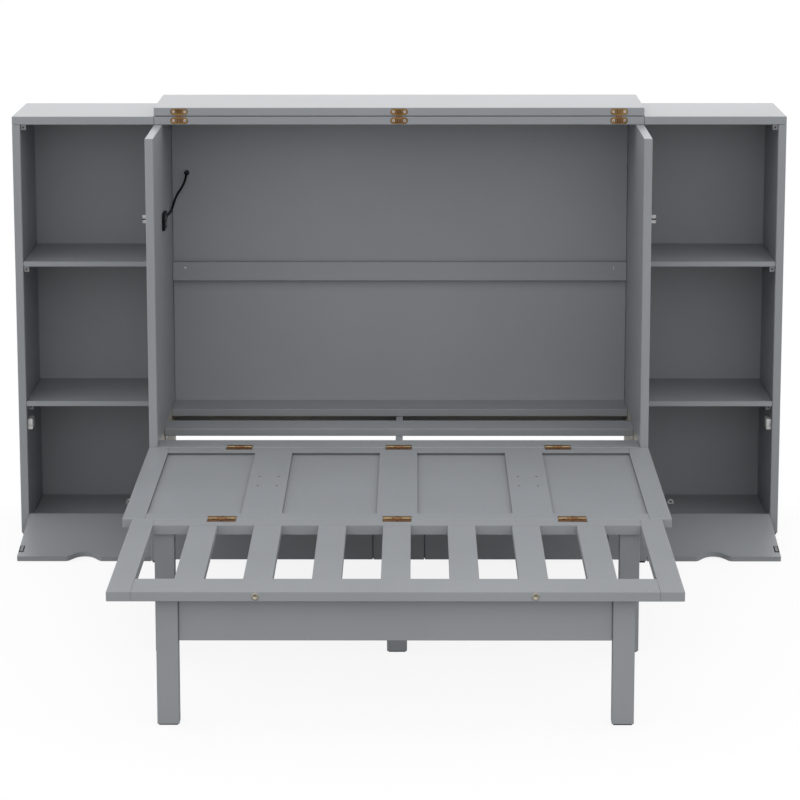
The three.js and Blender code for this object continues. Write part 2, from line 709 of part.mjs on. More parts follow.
const cordSection = new THREE.Shape(
  Array.from({ length: CORD_SIDES }, (_, n) => {
    const turn = (n / CORD_SIDES) * 2 * Math.PI;
    return new THREE.Vector2(Math.cos(turn), Math.sin(turn)).multiplyScalar(CORD_DIAMETER / 2);
  }),
);
add('outlet_cord', new THREE.ExtrudeGeometry(cordSection, {
  steps: CORD_STEPS,
  extrudePath: new THREE.CatmullRomCurve3(cordRoute, false, 'centripetal'),
  bevelEnabled: false,
}), black);

// A flanged ring in the back panel, around the lead.
const bore = CORD_DIAMETER / 2 + GAP;
const ring = new THREE.LatheGeometry([
  new THREE.Vector2(bore, -GROMMET_FLANGE_THICK - GAP),
  new THREE.Vector2(GROMMET_FLANGE, -GROMMET_FLANGE_THICK - GAP),
  new THREE.Vector2(GROMMET_FLANGE, -GAP),
  new THREE.Vector2(GROMMET_RADIUS, -GAP),
  new THREE.Vector2(GROMMET_RADIUS, BACK_THICK),
  new THREE.Vector2(bore, BACK_THICK),
  new THREE.Vector2(bore, -GROMMET_FLANGE_THICK - GAP),
], ROUND_SIDES);
ring.translate(GROMMET_X, BACK_FACE, GROMMET_Z);
add('cord_grommet', ring, black);

export default group;
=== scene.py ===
# The looks of the cabinet wall bed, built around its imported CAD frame.
# Metres, +Z up, +Y towards the wall, with the origin on the floor under the
# middle of the object.

import json
import math

import bmesh
import bpy
from mathutils import Matrix, Vector


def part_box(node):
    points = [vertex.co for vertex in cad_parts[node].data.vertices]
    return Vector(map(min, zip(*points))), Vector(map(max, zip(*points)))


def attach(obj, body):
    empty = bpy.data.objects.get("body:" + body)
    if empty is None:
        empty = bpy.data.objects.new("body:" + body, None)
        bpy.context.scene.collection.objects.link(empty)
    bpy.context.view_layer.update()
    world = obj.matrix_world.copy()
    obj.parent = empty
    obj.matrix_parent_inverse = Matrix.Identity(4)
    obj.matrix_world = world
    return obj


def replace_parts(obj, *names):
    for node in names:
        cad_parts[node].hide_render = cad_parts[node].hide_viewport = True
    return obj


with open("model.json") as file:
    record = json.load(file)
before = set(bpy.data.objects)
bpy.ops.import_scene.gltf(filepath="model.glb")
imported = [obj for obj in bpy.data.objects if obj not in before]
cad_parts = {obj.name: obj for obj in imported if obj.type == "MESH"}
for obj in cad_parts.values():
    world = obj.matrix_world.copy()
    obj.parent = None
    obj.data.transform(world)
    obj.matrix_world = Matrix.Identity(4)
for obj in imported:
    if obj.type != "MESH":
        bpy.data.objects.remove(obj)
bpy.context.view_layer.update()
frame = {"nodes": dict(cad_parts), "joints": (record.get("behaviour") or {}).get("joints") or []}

MM = 0.001

# ------------------------------------------------------------- the CAD's places

top_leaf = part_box("fixed_top_leaf")
lid_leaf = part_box("lid_leaf")
side_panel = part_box("right_side_panel")
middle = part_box("middle_frame")
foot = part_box("foot_frame")
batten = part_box("mattress_batten")
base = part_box("base_frame")

FRONT_Y = side_panel[0].y
UNIT_FRONT = top_leaf[0].y
PLATFORM_TOP = middle[1].z
SECTION_BOTTOM = middle[0].z
HALF_CABINET = top_leaf[1].x
INNER_HALF = side_panel[0].x
JOINTS = {joint["name"]: joint for joint in frame["joints"]}


def pivot(joint_name):
    return Vector(JOINTS[joint_name]["pos_m"])


# --------------------------------------------------------------- node materials


def tinted(colour, factor):
    return tuple(factor * channel for channel in colour)


class Nodes:
    """A new material and short ways to add nodes to it."""

    def __init__(self, name):
        self.material = bpy.data.materials.new(name)
        self.material.use_nodes = True
        self.tree = self.material.node_tree
        self.shader = self.tree.nodes["Principled BSDF"]

    def add(self, kind, **settings):
        node = self.tree.nodes.new(kind)
        for key, value in settings.items():
            if key in node.inputs:
                node.inputs[key].default_value = value
            else:
                setattr(node, key, value)
        return node

    def link(self, source, target):
        self.tree.links.new(source, target)

    def coordinates(self, scale=(1, 1, 1)):
        """Object coordinates, which are the row frame's metres, stretched by scale."""
        place = self.add("ShaderNodeTexCoord")
        stretch = self.add("ShaderNodeMapping")
        stretch.inputs["Scale"].default_value = scale
        self.link(place.outputs["Object"], stretch.inputs["Vector"])
        return stretch.outputs["Vector"]

    def noise(self, scale, detail, roughness=0.5, stretch=(1, 1, 1)):
        node = self.add("ShaderNodeTexNoise", Scale=scale, Detail=detail, Roughness=roughness)
        self.link(self.coordinates(stretch), node.inputs["Vector"])
        return node.outputs["Fac"]

    def ranged(self, value, low, high, start=0.0, end=1.0):
        """value from start..end carried to low..high, and kept there."""
        node = self.add("ShaderNodeMapRange")
        limits = (("From Min", start), ("From Max", end), ("To Min", low), ("To Max", high))
        for key, number in limits:
            node.inputs[key].default_value = number
        self.link(value, node.inputs["Value"])
        return node.outputs["Result"]

    def math(self, operation, first, second):
        node = self.add("ShaderNodeMath", operation=operation)
        for socket, value in zip(node.inputs, (first, second)):
            if isinstance(value, (int, float)):
                socket.default_value = value
            else:
                self.link(value, socket)
        return node.outputs["Value"]

    def within(self, value, low, high):
        """1 where value is between low and high, and 0 elsewhere."""
        above = self.math("GREATER_THAN", value, low)
        return self.math("MULTIPLY", above, self.math("LESS_THAN", value, high))

    def mixed(self, factor, first, second):
        """Two colours, or a colour socket and a colour, mixed by factor."""
        node = self.add("ShaderNodeMix", data_type="RGBA")
        self.link(factor, node.inputs["Factor"])
        for socket, value in ((node.inputs["A"], first), (node.inputs["B"], second)):
            if isinstance(value, bpy.types.NodeSocket):
                self.link(value, socket)
            else:
                socket.default_value = (*value, 1)
        return next(out for out in node.outputs if out.type == "RGBA")

    def bump(self, height, distance, strength, under=None):
        node = self.add("ShaderNodeBump", Strength=strength, Distance=distance)
        self.link(height, node.inputs["Height"])
        if under is not None:
            self.link(under, node.inputs["Normal"])
        return node.outputs["Normal"]


GREY = (0.268, 0.280, 0.297)
BARE_WOOD = (0.46, 0.43, 0.36)
GLIDE_BLACK = (0.012, 0.012, 0.013)
CLOUD_DARKER = 0.96
CLOUD_LIGHTER = 1.04
STREAK_SHADE = 0.8
# A fixed darker tint for the faces inside the recesses: painted shade.
PAINTED_RECESS_SHADE = 0.3


def painted_wood(name, colour, grain_along, foot_height=0.0, bare_below=None, recess=None):
    """Satin paint over board: faint grain telegraphing through, and roller texture.

    foot_height paints what lies lower black, which is a glide. bare_below is a
    pair (half width, height): the inner faces lower than that are unpainted.
    recess is a box, three (low, high) spans, in which the faces get a fixed darker
    colour, which is painted shade in the recesses.
    """
    n = Nodes(name)
    along = {"x": (1, 16, 16), "y": (16, 1, 16), "z": (16, 16, 1)}[grain_along]
    grain = n.noise(9, 5, 0.6, along)
    cloud = n.noise(2.4, 3)
    tone = n.ranged(cloud, 0, 1, 0.3, 0.7)
    base_colour = n.mixed(tone, tinted(colour, CLOUD_DARKER), tinted(colour, CLOUD_LIGHTER))
    streak = n.ranged(grain, 0, 0.07, 0.45, 0.7)
    base_colour = n.mixed(streak, base_colour, tinted(colour, STREAK_SHADE))
    roller = n.noise(420, 2)
    normal = n.bump(grain, 0.0002, 0.15)
    normal = n.bump(roller, 0.00006, 0.5, normal)
    rough = n.ranged(roller, 0.36, 0.46, 0.3, 0.7)
    position = n.add("ShaderNodeSeparateXYZ")
    n.link(n.coordinates(), position.inputs["Vector"])
    # Painted shade: faces inside the recess box take a fixed darker tint, standing in for the shade
    # in the recesses.
    if recess is not None:
        spans = (n.within(position.outputs[axis], *span) for axis, span in zip("XYZ", recess))
        recess_shade_mask = n.math("MULTIPLY", n.math("MULTIPLY", next(spans), next(spans)), next(spans))
        base_colour = n.mixed(recess_shade_mask, base_colour, tinted(colour, PAINTED_RECESS_SHADE))
    if bare_below is not None:
        half, height = bare_below
        across = n.math("ABSOLUTE", position.outputs["X"], 0)
        inside = n.math("LESS_THAN", across, half)
        low = n.math("LESS_THAN", position.outputs["Z"], height)
        bare = n.math("MULTIPLY", inside, low)
        base_colour = n.mixed(bare, base_colour, BARE_WOOD)
    if foot_height:
        is_foot = n.math("LESS_THAN", position.outputs["Z"], foot_height)
        base_colour = n.mixed(is_foot, base_colour, GLIDE_BLACK)
    n.link(base_colour, n.shader.inputs["Base Color"])
    n.link(rough, n.shader.inputs["Roughness"])
    n.link(normal, n.shader.inputs["Normal"])
    return n.material


def bare_board(name):
    """Pale unpainted board, with grain along Y."""
    n = Nodes(name)
    grain = n.noise(14, 6, 0.65, (14, 0.8, 14))
    fine = n.noise(160, 3, 0.5, (1, 0.08, 1))
    tone = n.mixed(n.ranged(grain, 0, 1, 0.35, 0.68), (0.62, 0.53, 0.40), (0.47, 0.37, 0.25))
    tone = n.mixed(n.ranged(fine, 0, 0.35, 0.5, 0.8), tone, (0.36, 0.27, 0.17))
    n.link(tone, n.shader.inputs["Base Color"])
    n.link(n.ranged(fine, 0.55, 0.7), n.shader.inputs["Roughness"])
    n.link(n.bump(fine, 0.0002, 0.5), n.shader.inputs["Normal"])
    return n.material


def metal(name, colour, dark, rough, brushed=(1, 1, 1)):
    """Plated or brushed metal with fine streaks and a little tarnish."""
    n = Nodes(name)
    streaks = n.noise(900, 2, 0.5, brushed)
    tarnish = n.noise(60, 3)
    n.link(n.mixed(n.ranged(tarnish, 0, 1, 0.35, 0.7), colour, dark), n.shader.inputs["Base Color"])
    n.link(n.ranged(streaks, rough - 0.07, rough + 0.08, 0.3, 0.7), n.shader.inputs["Roughness"])
    n.link(n.bump(streaks, 0.00003, 0.6), n.shader.inputs["Normal"])
    n.shader.inputs["Metallic"].default_value = 1.0
    return n.material


def moulded_plastic(name, colour, rough, gloss=0.5):
    """Finely textured moulded plastic; gloss is its specular level."""
    n = Nodes(name)
    pores = n.noise(1800, 2)
    cloud = n.noise(30, 2)
    n.link(n.mixed(cloud, colour, tinted(colour, 0.82)), n.shader.inputs["Base Color"])
    n.link(n.ranged(pores, rough - 0.06, rough + 0.08, 0.3, 0.7), n.shader.inputs["Roughness"])
    n.link(n.bump(pores, 0.00004, 0.7), n.shader.inputs["Normal"])
    n.shader.inputs["Specular IOR Level"].default_value = gloss
    return n.material


# Just above the glides' real heights, so that their upper edges stay black.
SIDE_GLIDE = 5.2 * MM
LEG_GLIDE = 3.2 * MM
# The middle frame's borders round its recessed panels.
SIDE_BORDER = 58 * MM
FOOT_BORDER = 61 * MM
HEAD_BORDER = 71 * MM
paint_x = painted_wood("paint_grain_x", GREY, "x")
paint_y = painted_wood("paint_grain_y", GREY, "y")
paint_z = painted_wood("paint_grain_z", GREY, "z")
paint_side = painted_wood(
    "paint_side_panel", GREY, "z", SIDE_GLIDE, (INNER_HALF + 0.5 * MM, PLATFORM_TOP - 0.5 * MM),
)
# The middle frame's paint carries painted shade on the faces of the recesses round its panels.
paint_middle = painted_wood(
    "paint_middle_frame", GREY, "y",
    recess=(
        (middle[0].x + SIDE_BORDER, middle[1].x - SIDE_BORDER),
        (middle[0].y + FOOT_BORDER, middle[1].y - HEAD_BORDER),
        (SECTION_BOTTOM + 1 * MM, PLATFORM_TOP - 0.8 * MM),
    ),
)
paint_outer_side = painted_wood("paint_outer_side", GREY, "z", SIDE_GLIDE)
paint_leg = painted_wood("paint_leg", GREY, "z", LEG_GLIDE)
bare = bare_board("bare_board")
# Two copies of the hinges' brass, one darker and one lighter: painted shade and painted light on
# one metal.
shaded_brass = metal("shaded_brass_plate", (0.30, 0.165, 0.08), (0.2, 0.1, 0.045), 0.4, (0.05, 1, 1))
lit_brass = metal("lit_brass_plate", (0.40, 0.28, 0.155), (0.28, 0.185, 0.095), 0.4, (0.05, 1, 1))
brass = metal("brass_plate", (0.34, 0.205, 0.08), (0.2, 0.11, 0.04), 0.33, (0.05, 1, 1))
# Dark screw metal, which also serves as painted shade in rims, slots, holes and recesses.
dark_metal_and_shade = metal("dark_screw_metal_and_painted_shade", (0.07, 0.055, 0.045), (0.03, 0.025, 0.02), 0.4)
aged_steel = metal("aged_steel", (0.42, 0.385, 0.32), (0.27, 0.245, 0.2), 0.4)
dull_zinc = metal("dull_zinc", (0.30, 0.30, 0.31), (0.2, 0.2, 0.21), 0.5)
steel = metal("zinc_steel", (0.60, 0.60, 0.61), (0.42, 0.42, 0.44), 0.3)
black = moulded_plastic("black_plastic", (0.006, 0.006, 0.007), 0.5, 0.15)
white = moulded_plastic("white_plastic", (0.78, 0.78, 0.76), 0.38)

# ---------------------------------------------------------- CAD node materials


def paint_nodes(material, *names):
    for name in names:
        node = frame["nodes"][name]
        node.data.materials.clear()
        node.data.materials.append(material)


SIDES = (("left", -1), ("right", 1))
paint_nodes(
    paint_x, "fixed_top_leaf", "lid_leaf", "mattress_batten", "front_platform_slat",
    "rear_platform_slat", "rear_stretcher", "base_frame", "leg_apron",
)
paint_nodes(paint_middle, "middle_frame")
paint_nodes(paint_y, "platform_centre_rail", "foot_frame")
paint_nodes(paint_z, "cabinet_back_panel")
paint_nodes(paint_y, *(f"middle_panel_{n}" for n in range(1, 5)))
paint_nodes(paint_y, *(f"foot_slat_{n}" for n in range(1, 8)))
paint_nodes(paint_leg, "centre_mid_leg")
paint_nodes(black, "cord_grommet")
for word, _ in SIDES:
    paint_nodes(paint_side, f"{word}_side_panel")
    paint_nodes(paint_outer_side, f"{word}_unit_outer_side")
    paint_nodes(
        paint_x, f"{word}_unit_top", f"{word}_unit_upper_shelf", f"{word}_unit_lower_shelf",
        f"{word}_unit_floor", f"{word}_drawer_front", f"{word}_flap",
    )
    paint_nodes(paint_z, f"{word}_unit_back")
    paint_nodes(paint_leg, f"{word}_front_leg", f"{word}_mid_leg")
    paint_nodes(bare, f"{word}_drawer_box")

# ------------------------------------------------------------------ mesh helpers

AXES = {
    "x": Matrix(((0, 0, 1), (1, 0, 0), (0, 1, 0))),
    "y": Matrix(((1, 0, 0), (0, 0, 1), (0, -1, 0))),
    "-y": Matrix(((1, 0, 0), (0, 0, -1), (0, 1, 0))),
    "z": Matrix.Identity(3),
}


def placed(points, origin, facing):
    """Points drawn with +Z up, turned so that +Z faces the given way, at origin."""
    turn = AXES[facing] if isinstance(facing, str) else facing
    return [Vector(origin) + turn @ Vector(point) for point in points]


class Piece:
    """Gathers solids, each with its own material, into one object."""

    def __init__(self, name):
        self.name = name
        self.mesh = bmesh.new()
        self.materials = []

    def _index(self, material):
        if material not in self.materials:
            self.materials.append(material)
        return self.materials.index(material)

    def solid(self, points, faces, material, smooth=False):
        """Adds a closed solid and returns its faces."""
        verts = [self.mesh.verts.new(point) for point in points]
        made = [self.mesh.faces.new([verts[i] for i in face]) for face in faces]
        bmesh.ops.recalc_face_normals(self.mesh, faces=made)
        for face in made:
            face.material_index = self._index(material)
            face.smooth = smooth
        return made

    def block(self, low, high, material, bevel, segments=2):
        """A block between two corners, with rounded edges."""
        (x0, y0, z0), (x1, y1, z1) = low, high
        points = [(x, y, z) for z in (z0, z1) for y in (y0, y1) for x in (x0, x1)]
        faces = [
            (0, 2, 3, 1), (4, 5, 7, 6), (0, 1, 5, 4), (2, 6, 7, 3), (0, 4, 6, 2), (1, 3, 7, 5),
        ]
        made = self.solid(points, faces, material)
        edges = {edge for face in made for edge in face.edges}
        bmesh.ops.bevel(
            self.mesh, geom=list(edges), offset=bevel, segments=segments,
            profile=0.5, affect="EDGES", clamp_overlap=True, material=-1,
        )

    def turned(self, profile, origin, facing, material, segments):
        """A solid of revolution about the facing axis: (radius, height) from axis to axis."""
        points, rings = [], []
        for radius, height in profile:
            if radius < 1e-7:
                rings.append([len(points)])
                points.append((0, 0, height))
            else:
                rings.append(list(range(len(points), len(points) + segments)))
                points += [
                    (radius * math.cos(turn), radius * math.sin(turn), height)
                    for turn in (2 * math.pi * n / segments for n in range(segments))
                ]
        faces = []
        for lower, upper in zip(rings, rings[1:]):
            for n in range(segments):
                m = (n + 1) % segments
                corners = (
                    lower[n % len(lower)], lower[m % len(lower)],
                    upper[m % len(upper)], upper[n % len(upper)],
                )
                faces.append(tuple(dict.fromkeys(corners)))
        self.solid(placed(points, origin, facing), faces, material, smooth=True)

    def outline(self, loop, origin, facing, thickness, material, bevel=0.3 * MM):
        """A plate of the given outline, its near face eased, standing up from origin."""
        count = len(loop)
        inner = shrunk(loop, bevel)
        points = [(x, y, 0) for x, y in loop]
        points += [(x, y, thickness - bevel) for x, y in loop]
        points += [(x, y, thickness) for x, y in inner]
        faces = [tuple(reversed(range(count))), tuple(range(2 * count, 3 * count))]
        for layer in (0, 1):
            for n in range(count):
                m = (n + 1) % count
                low, high = layer * count, (layer + 1) * count
                faces.append((low + n, low + m, high + m, high + n))
        self.solid(placed(points, origin, facing), faces, material)

    def screw(self, origin, facing, radius, material, proud=0.4 * MM):
        """A countersunk screw head, with its cross recess drawn as a dark cross of painted shade.
        """
        dish = 0.45 * radius
        self.turned(
            [
                (0, -1.2 * MM), (0.6 * radius, -1.2 * MM), (radius, 0), (0.94 * radius, proud),
                (dish, 1.25 * proud), (0.8 * dish, 0.2 * proud), (0, 0.1 * proud),
            ],
            origin, facing, material, 20,
        )
        # The cross recess is a dark cross laid on the head: painted shade in place of a hollow.
        reach, half = 0.62 * radius, 0.1 * radius
        cross = [
            (half, half), (half, reach), (-half, reach), (-half, half), (-reach, half),
            (-reach, -half), (-half, -half), (-half, -reach), (half, -reach), (half, -half),
            (reach, -half), (reach, half),
        ]
        self.outline(cross, origin, facing, 1.4 * proud, dark_metal_and_shade, 0.05 * MM)

    def done(self, body, slot):
        """Makes the object, and lets it ride on a CAD body."""
        data = bpy.data.meshes.new(self.name)
        self.mesh.to_mesh(data)
        self.mesh.free()
        for material in self.materials:
            data.materials.append(material)
        made = bpy.data.objects.new(self.name, data)
        bpy.context.scene.collection.objects.link(made)
        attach(made, body)
        return made


def shrunk(loop, by):
    """An outline moved inwards by a distance, corner by corner."""
    count = len(loop)
    area = sum(
        loop[n][0] * loop[(n + 1) % count][1] - loop[(n + 1) % count][0] * loop[n][1]
        for n in range(count)
    )
    way = 1 if area > 0 else -1
    made = []
    for n in range(count):
        before, here, after = (Vector(loop[(n + k) % count]) for k in (-1, 0, 1))
        ahead = (after - here).normalized()
        behind = (here - before).normalized()
        normal = Vector((-ahead.y - behind.y, ahead.x + behind.x)).normalized() * way
        lean = normal.dot(Vector((-ahead.y, ahead.x)) * way)
        made.append(tuple(here + normal * by / max(lean, 0.3)))
    return made


def rounded_rectangle(width, height, radius, steps=6):
    """The outline of a rectangle with round corners, anticlockwise from its right side."""
    half_x, half_y = width / 2 - radius, height / 2 - radius
    corners = (
        (half_x, half_y, 0), (-half_x, half_y, 1), (-half_x, -half_y, 2), (half_x, -half_y, 3),
    )
    return [
        (
            x + radius * math.cos((quarter + n / steps) * math.pi / 2),
            y + radius * math.sin((quarter + n / steps) * math.pi / 2),
        )
        for x, y, quarter in corners
        for n in range(steps + 1)
    ]


def rod(piece, start, end, radius, material, segments=20):
    """A round bar with eased ends, from start to end."""
    start, end = Vector(start), Vector(end)
    length = (end - start).length
    turn = (end - start).to_track_quat("Z", "Y").to_matrix()
    ease = min(0.4 * MM, radius / 4)
    profile = [
        (0, 0), (radius - ease, 0), (radius, ease),
        (radius, length - ease), (radius - ease, length), (0, length),
    ]
    piece.turned(profile, start, turn, material, segments)


# ----------------------------------------------- butt hinges of the two sections

HINGE_SPACING = 459 * MM
HINGE_WIDTH = 74 * MM
HINGE_LEAF = 31 * MM
HINGE_PLATE = 2.4 * MM
JOINT_HALF = 1.5 * MM
KNUCKLE = 3.4 * MM
SCREW_SPREAD = 22 * MM
HINGE_SCREW = 4.2 * MM
# How far the outer screws and the middle one are from the axis.
OUTER_SCREWS = 9 * MM
MIDDLE_SCREW = 22 * MM


def butt_hinge_half(name, axis, x, way, body, replaced=None):
    """One leaf of a butt hinge: way is -1 for the moving leaf, in front, and +1 behind.

    The moving leaf has the middle knuckle, and the other leaf the outer two.
    """
    piece = Piece(name)
    # The front leaf takes the darker copy of the brass and the rear leaf the lighter one: painted
    # shade and painted light.
    plated = shaded_brass if way < 0 else lit_brass
    near = JOINT_HALF + KNUCKLE + 0.3 * MM
    far = JOINT_HALF + HINGE_LEAF
    third = HINGE_WIDTH / 3
    centre_y = axis.y + way * (near + far) / 2
    floor = PLATFORM_TOP - HINGE_PLATE
    # A dark sheet, a little larger than the plate, lies under it: painted shadow in the clearance
    # round the leaf.
    gap_shadow = rounded_rectangle(HINGE_WIDTH + 1.6 * MM, far - near + 1 * MM, 3 * MM)
    piece.outline(gap_shadow, (x, centre_y, floor), "z", HINGE_PLATE + 0.05 * MM, dark_metal_and_shade, 0.02 * MM)
    plate = rounded_rectangle(HINGE_WIDTH, far - near, 3 * MM)
    piece.outline(plate, (x, centre_y, floor), "z", HINGE_PLATE + 0.3 * MM, plated)
    middles = [0] if way < 0 else [-third, third]
    for offset in middles:
        half = third / 2 - 0.3 * MM
        span = sorted((axis.y, axis.y + way * (near + 4 * MM)))
        piece.block(
            (x + offset - half, span[0], floor), (x + offset + half, span[1], PLATFORM_TOP),
            plated, 0.3 * MM,
        )
        rod(
            piece, (x + offset - half, axis.y, axis.z), (x + offset + half, axis.y, axis.z),
            KNUCKLE, plated,
        )
    for offset in (-SCREW_SPREAD, 0, SCREW_SPREAD):
        from_axis = OUTER_SCREWS if offset else MIDDLE_SCREW
        spot = (x + offset, axis.y + way * from_axis, PLATFORM_TOP + 0.3 * MM)
        piece.screw(spot, "z", HINGE_SCREW, dark_metal_and_shade)
    made = piece.done(body, "brass_hinge")
    if replaced:
        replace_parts(made, replaced)


for number, x in enumerate((-HINGE_SPACING, 0, HINGE_SPACING), 1):
    lift_axis, fold_axis = pivot("bed_lift"), pivot("foot_fold")
    butt_hinge_half(
        f"middle_hinge_{number}_moving", lift_axis, x, -1, "middle_section",
        f"middle_hinge_leaf_{number}",
    )
    butt_hinge_half(f"middle_hinge_{number}_fixed", lift_axis, x, 1, "cabinet")
    butt_hinge_half(
        f"foot_hinge_{number}_moving", fold_axis, x, -1, "foot_section",
        f"foot_hinge_leaf_{number}",
    )
    butt_hinge_half(f"foot_hinge_{number}_fixed", fold_axis, x, 1, "middle_section")

# --------------------------------------------------- concealed hinges of the lid

LID_HINGE_SPACING = 646 * MM
PLATE_WIDTH = 50.6 * MM
PLATE_HEIGHT = 18.5 * MM
PLATE_PROUD = 0.7 * MM
MORTISE_GAP = 1 * MM
LINK_WIDTH = 21 * MM
LINK_PROUD = 0.95 * MM
LINK_RIBS = 4
PLATE_SCREWS = 16.5 * MM
PLATE_SCREW_RADIUS = 3.9 * MM
SLOT_HEIGHT = 12 * MM
POCKET_HALF = 5.5 * MM
POCKET_DEPTH = 20 * MM


def lid_hinge_half(name, x, leaf, body, way):
    """The plate on a leaf's front edge, with the links that reach the other leaf.

    The links lie in a slot painted dark as shade, and way is +1 where they go up.
    """
    piece = Piece(name)
    middle_z = (leaf[0].z + leaf[1].z) / 2
    face = leaf[0].y
    # A dark rim round the plate is painted shadow in the clearance of its mortise.
    gap_shadow = rounded_rectangle(
        PLATE_WIDTH + MORTISE_GAP, PLATE_HEIGHT + MORTISE_GAP, PLATE_HEIGHT / 2, 8,
    )
    piece.outline(gap_shadow, (x, face, middle_z), "-y", 0.2 * MM, dark_metal_and_shade, 0.05 * MM)
    plate = rounded_rectangle(PLATE_WIDTH, PLATE_HEIGHT, PLATE_HEIGHT / 2 - 0.1 * MM, 8)
    piece.outline(plate, (x, face, middle_z), "-y", PLATE_PROUD, brass, 0.3 * MM)
    # The dark slot is painted shade where the links sink into the plate.
    slot = rounded_rectangle(LINK_WIDTH, SLOT_HEIGHT, 1.5 * MM)
    piece.outline(slot, (x, face, middle_z), "-y", PLATE_PROUD + 0.05 * MM, dark_metal_and_shade, 0.02 * MM)
    piece.block(
        (x - LINK_WIDTH / 2, face + 0.3 * MM, middle_z - POCKET_HALF),
        (x + LINK_WIDTH / 2, face + POCKET_DEPTH, middle_z + POCKET_HALF),
        brass, 0.5 * MM,
    )
    meeting = pivot("lid_fold").z - way * 0.15 * MM
    low, high = sorted((middle_z - way * 5 * MM, meeting))
    pitch = LINK_WIDTH / LINK_RIBS
    for rib in range(LINK_RIBS):
        rib_x = x + (rib - (LINK_RIBS - 1) / 2) * pitch
        # The lower half's ribs take the darker copy of the brass: painted shade in the slot.
        piece.block(
            (rib_x - 0.32 * pitch, face - LINK_PROUD, low),
            (rib_x + 0.32 * pitch, face - 0.1 * MM, high),
            brass if way < 0 else shaded_brass, 0.3 * MM,
        )
    for offset in (-PLATE_SCREWS, PLATE_SCREWS):
        spot = (x + offset, face - PLATE_PROUD, middle_z)
        piece.screw(spot, "-y", PLATE_SCREW_RADIUS, steel, 0.2 * MM)
    piece.done(body, "brass_hinge")


for number, x in enumerate((-LID_HINGE_SPACING, 0, LID_HINGE_SPACING), 1):
    lid_hinge_half(f"lid_hinge_{number}_fixed", x, top_leaf, "cabinet", 1)
    lid_hinge_half(f"lid_hinge_{number}_moving", x, lid_leaf, "lid", -1)

# ------------------------------------------------------------ screws and bolts

BATTEN_SCREW_X = 658 * MM
BATTEN_SCREW_RISE = 8 * MM
BATTEN_SCREW = 5.5 * MM
for word, side in SIDES:
    piece = Piece(f"{word}_batten_screw")
    height = (batten[0].z + batten[1].z) / 2 + BATTEN_SCREW_RISE
    place = (side * BATTEN_SCREW_X, batten[0].y, height)
    piece.screw(place, "-y", BATTEN_SCREW, steel, 0.5 * MM)
    piece.done("cabinet", "steel")

BOLT_X = 336 * MM
BOLT_RADIUS = 9.5 * MM
for word, side in SIDES:
    piece = Piece(f"{word}_front_rail_bolt")
    place = (side * BOLT_X, foot[0].y, (foot[0].z + foot[1].z) / 2)
    piece.turned(
        [
            (0, -1 * MM), (BOLT_RADIUS, -1 * MM), (BOLT_RADIUS, 0.6 * MM),
            (BOLT_RADIUS - 1 * MM, 1.2 * MM), (3.6 * MM, 1.3 * MM), (3.4 * MM, 0.2 * MM),
            (0, 0.2 * MM),
        ],
        place, "-y", aged_steel, 32,
    )
    piece.done("foot_section", "steel")

STILE_X = 357.5 * MM
BOLT_GRID = (26 * MM, 58 * MM)
GRID_MIDDLE = 439 * MM
STILE_BOLT = 3.4 * MM
for word, side in SIDES:
    piece = Piece(f"{word}_stile_bolts")
    for along in (-1, 1):
        for across in (-1, 1):
            spot = (
                side * STILE_X + across * BOLT_GRID[0],
                middle[1].y - GRID_MIDDLE + along * BOLT_GRID[1],
                PLATFORM_TOP,
            )
            piece.screw(spot, "z", STILE_BOLT, dark_metal_and_shade, 0.3 * MM)
    piece.done("middle_section", "steel")

# ----------------------------------------------- fittings of the shelf units

SUPPORT = 17 * MM
SUPPORT_SCREW = 2.8 * MM
SUPPORT_SETBACK = 7 * MM
# Under the lower shelf the blocks stand behind the closed flap.
FLAP_SETBACK = 32 * MM
REAR_SUPPORTS = 60 * MM
FLOOR_LIP = 10 * MM

CATCH_BACK = 5 * MM
CATCH_LENGTH = 26 * MM
CATCH_HEIGHTS = (943 * MM, 972 * MM)
CATCH_PRONGS = ((945 * MM, 955 * MM), (959 * MM, 970 * MM))
CATCH_WEB = (954 * MM, 960 * MM)
CATCH_REACH = 39 * MM

STAY_X = 834 * MM
STAY_BACK = 588 * MM
STAY_BASE = (9 * MM, 7 * MM)
STAY_LIFT = 0.3 * MM
STAY_FLANGE = 2 * MM
ARCH_HALF = 8 * MM
ARCH_RISE = 10 * MM
ARCH_THICK = 2.4 * MM
ARCH_STEPS = 8


def corner_block(piece, side, wall_x, y, under_z):
    """A small moulded block in the corner under a shelf, with a screw in its front."""
    low_x, high_x = sorted((wall_x - side * 0.3 * MM, wall_x - side * SUPPORT))
    piece.block(
        (low_x, y, under_z - SUPPORT), (high_x, y + SUPPORT, under_z - 0.3 * MM),
        dull_zinc, 1.2 * MM,
    )
    spot = ((low_x + high_x) / 2, y, under_z - SUPPORT / 2)
    piece.screw(spot, "-y", SUPPORT_SCREW, dark_metal_and_shade, 0.3 * MM)


